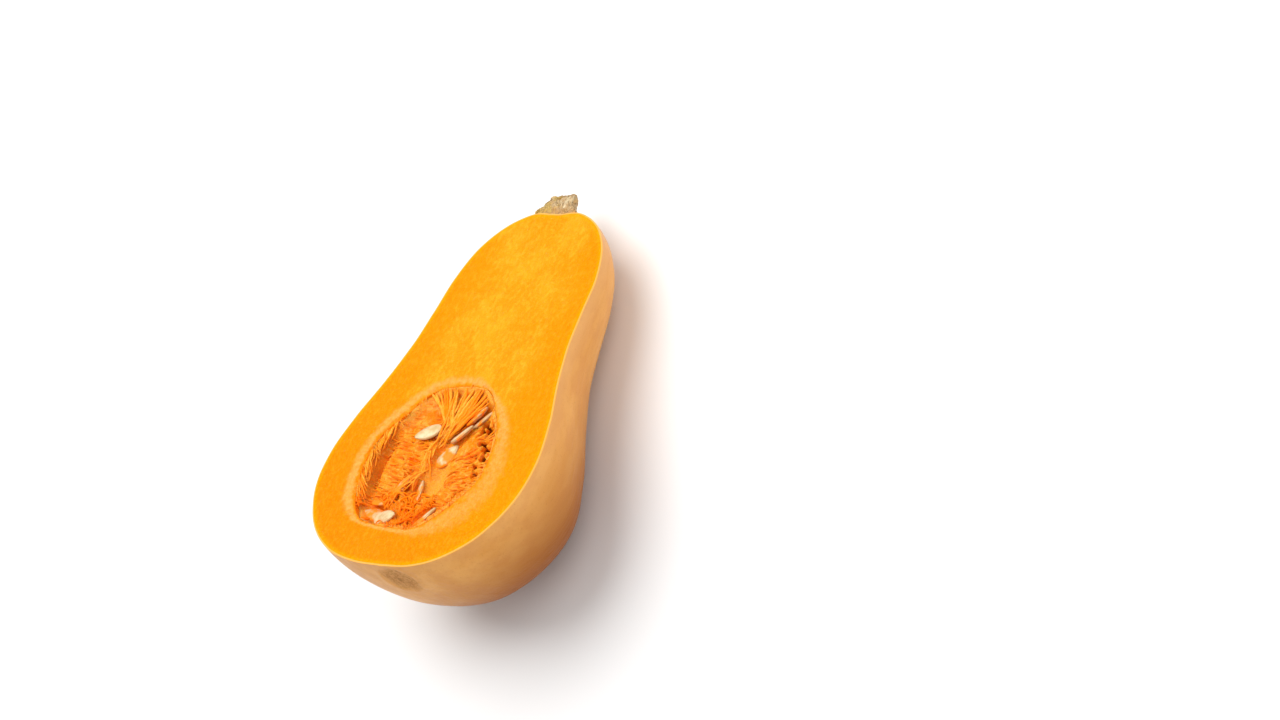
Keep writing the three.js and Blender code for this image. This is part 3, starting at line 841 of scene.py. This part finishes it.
def wall_pits(x, y):
    """Holes, 0 to 1, where the mass has torn away from the right wall; the finish paints them near
    black as shade.
    """
    aim, far = seen_from(RIGHT_FIBRES, x, y)
    torn = weave(far / 4.4, aim * RIGHT_REACH / 2.6, 33)
    zone = hump(from_wall(x, y) - 10, 5.5) * rise(x, 10, 18) * (1 - rise(y, 97, 105))
    zone = zone * (0.45 + 0.55 * rise(y, 58, 72)) * rise(y, 40, 50)
    return rise(torn + 0.42 * zone, 0.3, 0.42) * rise(zone, 0.2, 0.5)


# Up from the floor of the hollow beside its wall, then in over the top of the pulp. The
# marks are what the finish reads: 0 in the part out of sight.
pulp_loops = [hollow_loop(depth, 0.6) for depth in (50, 49.4, 48, 45, 40, 33, 25, 17)]
out_of_sight = [np.zeros(LOOP_POINTS)] * len(pulp_loops)
marks = {name: list(out_of_sight) for name in ("raised", "web", "lump", "at_wall")}
for spread in np.append(spaced(0.997, 0.006, 132), 0):
    x, y = (HOLLOW_MIDDLE + (hollow_edge - HOLLOW_MIDDLE) * spread).T
    relief, web, lump = pulp_relief(x, y)
    pits = wall_pits(x, y)
    folds = ripple(np.stack([x, y, x * 0], -1), 9, seed=17) * (1 + 1.2 * lump)
    slit = slits(x, y)
    height = pulp_height(x, y) + FIBRE_DEPTH * (relief - 0.6) + FOLD_DEPTH * folds * (1 - web)
    height = nested(x, y, height - PIT_DEPTH * pits - SLIT_DEPTH * slit)
    pulp_loops.append(np.column_stack([x, y, np.minimum(height, -0.7)]))
    # raised drops in the creases, pits and slits, where the finish paints shade.
    marks["raised"].append(np.clip(relief - 1.8 * pits - 1.1 * slit, -1, 1))
    marks["web"].append(web)
    marks["lump"].append(lump)
    marks["at_wall"].append(hump(from_wall(x, y), 3))

PULP_ORANGE = paint(252, 136, 12)
PULP_WARM = paint(254, 156, 42)
PULP_PALE = paint(255, 176, 74)
# Painted shade for the creases between the fibres.
PULP_CREASE_SHADE = paint(246, 106, 2)
# Painted shade for the pits and slits.
PULP_HOLE_SHADE = paint(110, 32, 0)
# Painted shade for the low parts of the hollow.
PULP_DEPTH_SHADE = paint(240, 104, 2)
WEB_PALE = paint(254, 166, 58)
LUMP_ORANGE = paint(248, 126, 8)
LUMP_PALE = paint(255, 176, 70)
BLOSSOM_ORANGE = paint(250, 112, 0)
WALL_PALE = paint(255, 172, 74)

mass = Finish("pulp")
here = mass.place()
raised = mass.stored("raised")
web = mass.stored("web")
mass.colour = mass.mix(mass.patches(here, 9, 0.35, 0.65), PULP_ORANGE, PULP_WARM)
mass.tint(mass.patches(here, 2.2, 0.5, 0.72), PULP_PALE)
# Painted shade: the creases between the fibres are coloured a deeper orange, as if in shadow.
mass.tint(mass.ramp(raised, 0.05, 0.5, 1, 0), PULP_CREASE_SHADE, 0.7)
# Painted shade: pits and slits are coloured near black for the shade inside them.
mass.tint(mass.ramp(raised, -0.7, -0.05, 0.97, 0), PULP_HOLE_SHADE)
# Painted shade: the pulp is coloured redder the deeper it lies in the hollow, except on the pale
# web.
depth = mass.ramp(mass.axis(here, "Z"), -15, -8.5, 1, 0)
mass.tint(mass.times(depth, mass.ramp(web, 0.15, 0.5, 1, 0)), PULP_DEPTH_SHADE, 0.6)
mass.tint(mass.ramp(web, 0.2, 0.6), WEB_PALE, 0.9)
lumpy = mass.patches(here, 4.5, 0.42, 0.6, detail=4, swirl=0.4)
mass.tint(mass.stored("lump"), mass.mix(lumpy, LUMP_ORANGE, LUMP_PALE), 0.75)
mass.tint(mass.ramp(mass.axis(here, "Y"), 34, 50, 0.45, 0), BLOSSOM_ORANGE)
mass.tint(mass.stored("at_wall"), WALL_PALE, 0.6)
mass.surface(
    Base_Color=mass.colour,
    Roughness=mass.patches(here, 1.5, 0.2, 0.8),
    Specular_IOR_Level=0.18,
    Specular_Tint=paint(255, 180, 80),
    Subsurface_Weight=0.5,
    Subsurface_Radius=(1.0, 0.4, 0.08),
    Subsurface_Scale=0.005,
    Coat_Weight=0.1,
    Coat_Roughness=0.18,
    IOR=1.35,
)
mass.relief(
    (mass.patches(mass.place(0.3, 1, 1), 0.9, detail=4), 0.35),
    (mass.patches(here, 0.5), 0.1),
)

pulp = loops_piece("squash_pulp", pulp_loops, **marks)
mass.dress(pulp)
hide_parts("pulp")
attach(pulp, "root")


# --- Strings ------------------------------------------------------------------
# The tough strands that held the seeds, torn loose by the knife: a fan that gathers into
# the ridge from the neck side, short ones across the mass, ribbons down the walls, and a
# curled tangle at the blossom side. Each is a tapered strand along its own path.

STRAND_POINTS = 10
FAN_STRANDS = 64
# Seeds that no strand crosses, how much of each lies free from its round end, and half
# the length and width of the patch that stays clear.
BARE_SEEDS = {
    "seed_01": 1, "seed_02": 0.5, "seed_03": 1, "seed_04": 1, "seed_08": 1, "seed_09": 1,
    "seed_10": 1, "seed_12": 1,
}
BARE_LENGTH = 7.8
BARE_WIDTH = 4.6

strings = []
between = draw.uniform


def towards(angle):
    """A step of one millimetre at an angle in degrees from the right."""
    return np.array([math.cos(math.radians(angle)), math.sin(math.radians(angle))])


def over_a_seed(points):
    """Whether a strand would cross the open side of a seed that the strings have let go of."""
    for name, free in BARE_SEEDS.items():
        middle, heading = SEEDS[name][:2]
        off = points[:, :2] - middle[:2]
        ahead = towards(heading)
        along, across = off @ ahead, off @ np.array([-ahead[1], ahead[0]])
        if np.any(np.hypot((along / BARE_LENGTH + 1 - free) / free, across / BARE_WIDTH) < 1):
            return True
    return False


def add_string(points, thickness, tone):
    """Keeps a strand unless it would hide a bare seed or the torn holes by the right wall."""
    across_pits = wall_pits(points[:, 0], points[:, 1]).mean() > 0.12
    if not (over_a_seed(points) or across_pits):
        strings.append((points, thickness, tone))


def lying(x, y, heading, length, thickness, tone, arch, curl=0.3):
    """A strand that lies on the pulp with its middle at a spot, and dips in at both ends."""
    turns = heading + curl * np.linspace(-1, 1, STRAND_POINTS) * draw.choice((-1, 1))
    steps = np.column_stack([np.cos(turns), np.sin(turns)]) * length / (STRAND_POINTS - 1)
    path = np.cumsum(steps, axis=0)
    path += np.array([x, y]) - path.mean(0)
    share = np.linspace(0, 1, STRAND_POINTS)
    bow = 4 * share * share[::-1]
    height = pulp_height(path[:, 0], path[:, 1]) + arch * bow - 0.35 * (1 - bow)
    add_string(np.column_stack([path, np.minimum(height, -0.4)]), thickness, tone)


def spanning(start, end, sag, thickness, tone, sway=0.8):
    """A strand from one point to another that hangs or bulges between them."""
    share = np.linspace(0, 1, STRAND_POINTS)
    bow = (4 * share * (1 - share))[:, None]
    aside = np.array([between(-sway, sway), between(-sway, sway), -sag])
    path = np.array(start) * (1 - share[:, None]) + np.array(end) * share[:, None]
    add_string(path + bow * aside, thickness, tone)


def spot_on_pulp(low_x, high_x, low_y, high_y, keep):
    """A random spot in a patch of the pulp that passes a test."""
    while True:
        x, y = between(low_x, high_x), between(low_y, high_y)
        if keep(x, y):
            return x, y


def wall_point(angle, inward, depth=None):
    """A point near the wall, at an angle in degrees from the right: on the pulp, or at a depth."""
    way = towards(angle)
    reach = float(reach_of(hollow_edge, HOLLOW_MIDDLE + way))
    x, y = HOLLOW_MIDDLE + way * (reach - inward)
    return [x, y, float(pulp_height(x, y)) if depth is None else -depth]


# The fan: broad bands from the neck side, side by side, that gather into the ridge.
for step in range(FAN_STRANDS):
    share = step / (FAN_STRANDS - 1)
    if 0.1 < share < 0.17 or 0.6 < share < 0.68:
        continue
    angle = 40 + 74 * share + between(-2, 2)
    top = wall_point(angle, between(0.2, 1.2), between(0.5, 1.8))
    y = between(70, 92) if draw.random() < 0.5 else between(84, 96)
    x = float(ridge_at(y)) + 5 - 7 * share + between(-0.8, 0.8)
    z = float(pulp_height(x, y)) + between(0.1, 0.9)
    spanning(top, (x, y, z), between(-0.2, 1.4), between(0.3, 1.2), between(0, 1))
# Down the ridge itself.
for _ in range(22):
    y = between(44, 92)
    x = float(ridge_at(y)) + draw.gauss(0, 2.2)
    slope = float(ridge_at(y + 4) - ridge_at(y - 4)) / 8
    lying(x, y, math.atan2(1, slope) + between(-0.25, 0.25), between(12, 26),
          between(0.25, 0.6), between(0.45, 1), arch=between(0.4, 2.4))
# Across the left of the mass.
for _ in range(120):
    x, y = spot_on_pulp(-44, -6, 38, 100, lambda x, y: 1 < from_wall(x, y) and x < ridge_at(y) - 2)
    lying(x, y, -0.1 + draw.gauss(0, 0.22), between(5, 15), between(0.16, 0.42),
          between(0.15, 0.75), arch=between(0.3, 1.3))


def right_of_web(x, y):
    """Whether a spot lies on the right of the mass and clear of the smooth web."""
    return 0.5 < from_wall(x, y) and x > ridge_at(y) + 4 and web_at(x, y) < 0.15


# Out across the right of the mass, to the wall.
for _ in range(110):
    x, y = spot_on_pulp(0, 38, 33, 100, right_of_web)
    heading = math.atan2(y - RIGHT_FIBRES[1], x - RIGHT_FIBRES[0])
    lying(x, y, heading + draw.gauss(0, 0.2), between(5, 14), between(0.16, 0.45),
          between(0.1, 0.8), arch=between(0.3, 1.4))
for _ in range(44):
    angle = between(-48, 40)
    out = wall_point(angle, 0.3, between(1, 3))
    inner = wall_point(angle + between(-3, 3), between(5, 12))
    inner[2] += between(0, 1)
    spanning(out, inner, between(-0.5, 1.2), between(0.2, 0.6), between(0.2, 1), 0.5)
# Fine ends that run in over the edge of the hollow, all the way round.
for _ in range(190):
    angle = between(0, 360)
    out = wall_point(angle, between(-2.2, 0), between(-0.05, 0.4))
    inner = wall_point(angle + between(-3, 3), between(1.5, 5))
    inner[2] = max(inner[2] + 0.2, -4)
    spanning(out, inner, between(-0.1, 0.3), between(0.12, 0.32), between(0.5, 1), 0.5)
# A fringe down the left wall, beside the gap.
for _ in range(90):
    angle = between(146, 220)
    out = wall_point(angle, 0.2, between(0.6, 2))
    inner = wall_point(angle + between(8, 20), between(1.5, 5), between(2, 6))
    spanning(out, inner, between(-0.4, 0.8), between(0.2, 0.8), between(0, 1), 0.7)
# The tangle at the blossom side.
for _ in range(130):
    x, y = spot_on_pulp(-30, 10, 28, 48, lambda x, y: 1.5 < from_wall(x, y))
    lying(x, y, between(0, math.pi), between(6, 16), between(0.25, 0.8),
          between(0, 0.8) ** 2, arch=between(0, 1.5), curl=between(0.4, 1.4))
for _ in range(60):
    angle = between(222, 322)
    out = wall_point(angle, 0.3, between(0.6, 3))
    inner = wall_point(angle + between(-8, 8), between(3, 8))
    inner[2] += between(0, 1.4)
    spanning(out, inner, between(-0.5, 1.5), between(0.2, 0.7), between(0, 0.6))

paths = bpy.data.meshes.new("string_paths")
routes, thicknesses, tones = zip(*strings)
lengths = [len(route) for route in routes]
starts = np.cumsum([0] + lengths[:-1])
edges = [(start + i, start + i + 1) for start, n in zip(starts, lengths) for i in range(n - 1)]
paths.from_pydata(laid(np.vstack(routes)).tolist(), edges, [])
for label, numbers in (("thickness", thicknesses), ("tone", tones)):
    values = np.repeat(numbers, lengths).astype(np.float32)
    paths.attributes.new(label, "FLOAT", "POINT").data.foreach_set("value", values)
string_paths = placed("string_paths", paths)

STRING_ORANGE = paint(254, 133, 3)
STRING_PALE = paint(255, 185, 68)
STRING_MIDDLE = paint(254, 148, 18)
STRING_TANGLED = paint(251, 112, 0)

strand = Finish("pulp_strings")
here = strand.place()
strand.colour = strand.mix(strand.stored("tone"), STRING_ORANGE, STRING_PALE)
strand.tint(strand.patches(here, 3, 0.4, 0.7), STRING_MIDDLE)
strand.tint(strand.ramp(strand.axis(here, "Y"), 38, 56, 0.65, 0), STRING_TANGLED)
strand.surface(
    Base_Color=strand.colour,
    Roughness=strand.patches(here, 2, -0.5, 1.6),
    Specular_IOR_Level=0.22,
    Specular_Tint=paint(255, 180, 80),
    Subsurface_Weight=0.15,
    Subsurface_Radius=(1.0, 0.45, 0.1),
    Subsurface_Scale=0.0005,
    Coat_Weight=0.08,
    Coat_Roughness=0.15,
    IOR=1.35,
)
strand.relief((strand.patches(here, 0.7), 0.15))


def grow_strands(name):
    """A node tree that turns paths into tapered strands: spacing, wander and sides are inputs."""
    tree = bpy.data.node_groups.new(name, "GeometryNodeTree")
    given = {"Paths": "Geometry", "Spacing": "Float", "Wander": "Float", "Sides": "Int"}
    for label, kind in {**given, "Finish": "Material"}.items():
        tree.interface.new_socket(label, in_out="INPUT", socket_type="NodeSocket" + kind)
    tree.interface.new_socket("Strands", in_out="OUTPUT", socket_type="NodeSocketGeometry")

    def add(kind, inputs, output=0, **settings):
        return add_node(tree, kind, inputs, output, **settings)

    def maths(operation, first, second):
        return add("ShaderNodeMath", {0: first, 1: second}, operation=operation)

    given = tree.nodes.new("NodeGroupInput").outputs
    curves = add("GeometryNodeMeshToCurve", {"Mesh": given["Paths"]})
    made = {"Curve": curves, "Length": given["Spacing"]}
    curves = add("GeometryNodeResampleCurve", made, mode="LENGTH")
    along = add("GeometryNodeSplineParameter", {}, "Factor")
    taper = maths("MULTIPLY", along, maths("SUBTRACT", 1.0, along))
    taper = maths("POWER", maths("MULTIPLY", taper, 4.0), 0.4)
    drift = add("ShaderNodeTexNoise", {"Scale": 320.0, "Detail": 1.0}, "Color")
    drift = add("ShaderNodeVectorMath", {0: drift, 1: (0.5, 0.5, 0.5)}, operation="SUBTRACT")
    drift = add("ShaderNodeVectorMath", {0: drift, "Scale": given["Wander"]}, operation="SCALE")
    curves = add("GeometryNodeSetPosition", {"Geometry": curves, "Offset": drift})
    thick = add("GeometryNodeInputNamedAttribute", {"Name": "thickness"}, data_type="FLOAT")
    thick = maths("MULTIPLY", thick, taper)
    made = {"Resolution": given["Sides"], "Radius": 0.001}
    section = add("GeometryNodeCurvePrimitiveCircle", made)
    made = {"Curve": curves, "Profile Curve": section, "Scale": thick, "Fill Caps": True}
    strands = add("GeometryNodeCurveToMesh", made)
    strands = add("GeometryNodeSetShadeSmooth", {0: strands})
    strands = add("GeometryNodeRealizeInstances", {0: strands})
    strands = add("GeometryNodeSetMaterial", {"Geometry": strands, "Material": given["Finish"]})
    out = tree.nodes.new("NodeGroupOutput")
    tree.links.new(strands, out.inputs["Strands"])
    return tree


def grown(source, name, tree, **inputs):
    """The mesh that a node tree grows from an object, as a piece of its own."""
    grower = source.modifiers.new(name, "NODES")
    grower.node_group = tree
    for item in tree.interface.items_tree:
        if item.in_out == "INPUT" and item.name in inputs:
            grower[item.identifier] = inputs[item.name]
    ready = source.evaluated_get(bpy.context.evaluated_depsgraph_get())
    mesh = bpy.data.meshes.new_from_object(ready)
    source.modifiers.remove(grower)
    bpy.data.objects.remove(source)
    mesh.name = name
    return placed(name, mesh)


pulp_strings = grown(
    string_paths,
    "squash_strings",
    grow_strands("strands"),
    Spacing=0.0012,
    Wander=0.0012,
    Sides=6,
    Finish=strand.material,
)
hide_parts("pulp")
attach(pulp_strings, "root")


# --- Table, light and camera --------------------------------------------------
# A pale matt table top under an even white sky, two broad soft lamps, and the camera,
# which looks down on the cut from over the right of the blossom end.

table = bpy.data.meshes.new("table_top")
table.from_pydata([(-6, -6, 0), (6, -6, 0), (6, 6, 0), (-6, 6, 0)], [], [(0, 1, 2, 3)])
table_top = placed("table_top", table)
matt = Finish("table_paint")
soft = matt.add("TexNoise", {"Scale": 3.0})
soft = matt.mix(soft, paint(238, 238, 238), paint(244, 244, 244))
matt.surface(Base_Color=soft, Roughness=0.9)
matt.dress(table_top)

LAMPS_AIM = Vector((0, 0, 0.05))


def lamp(name, place, size, watts):
    """A round soft lamp that looks at the middle of the half."""
    light = bpy.data.lights.new(name, "AREA")
    light.shape = "DISK"
    light.size = size
    light.energy = watts
    shining = placed(name, light)
    shining.location = place
    shining.rotation_mode = "QUATERNION"
    shining.rotation_quaternion = (LAMPS_AIM - Vector(place)).to_track_quat("-Z", "Y")


lamp("window", (-0.35, 0.55, 1.9), 1.8, 37)
lamp("fill", (1.5, 0.5, 1.7), 1.4, 12)

world = bpy.data.worlds.new("room")
world.use_nodes = True
air = world.node_tree.nodes["Background"].inputs
air["Color"].default_value = (1, 1, 1, 1)
air["Strength"].default_value = 0.52
bpy.context.scene.world = world
bpy.context.scene.view_settings.view_transform = "Standard"

lens = bpy.data.cameras.new("camera")
lens.lens = 80
lens.sensor_width = 36
lens.clip_end = 20
camera = placed("camera", lens)
# Where the camera stands, and its directions back and up, measured on the half.
camera.location = laid((1073.5, -519.3, 961.4))
back = Vector(laid((0.6366, -0.4349, 0.6368))) - Vector(laid((0, 0, 0)))
up = Vector(laid((-0.0192, 0.8166, 0.5769))) - Vector(laid((0, 0, 0)))
axes = [way.normalized() for way in (up.cross(back), up, back)]
camera.rotation_mode = "QUATERNION"
camera.rotation_quaternion = Matrix(axes).transposed().to_quaternion()
bpy.context.scene.camera = camera
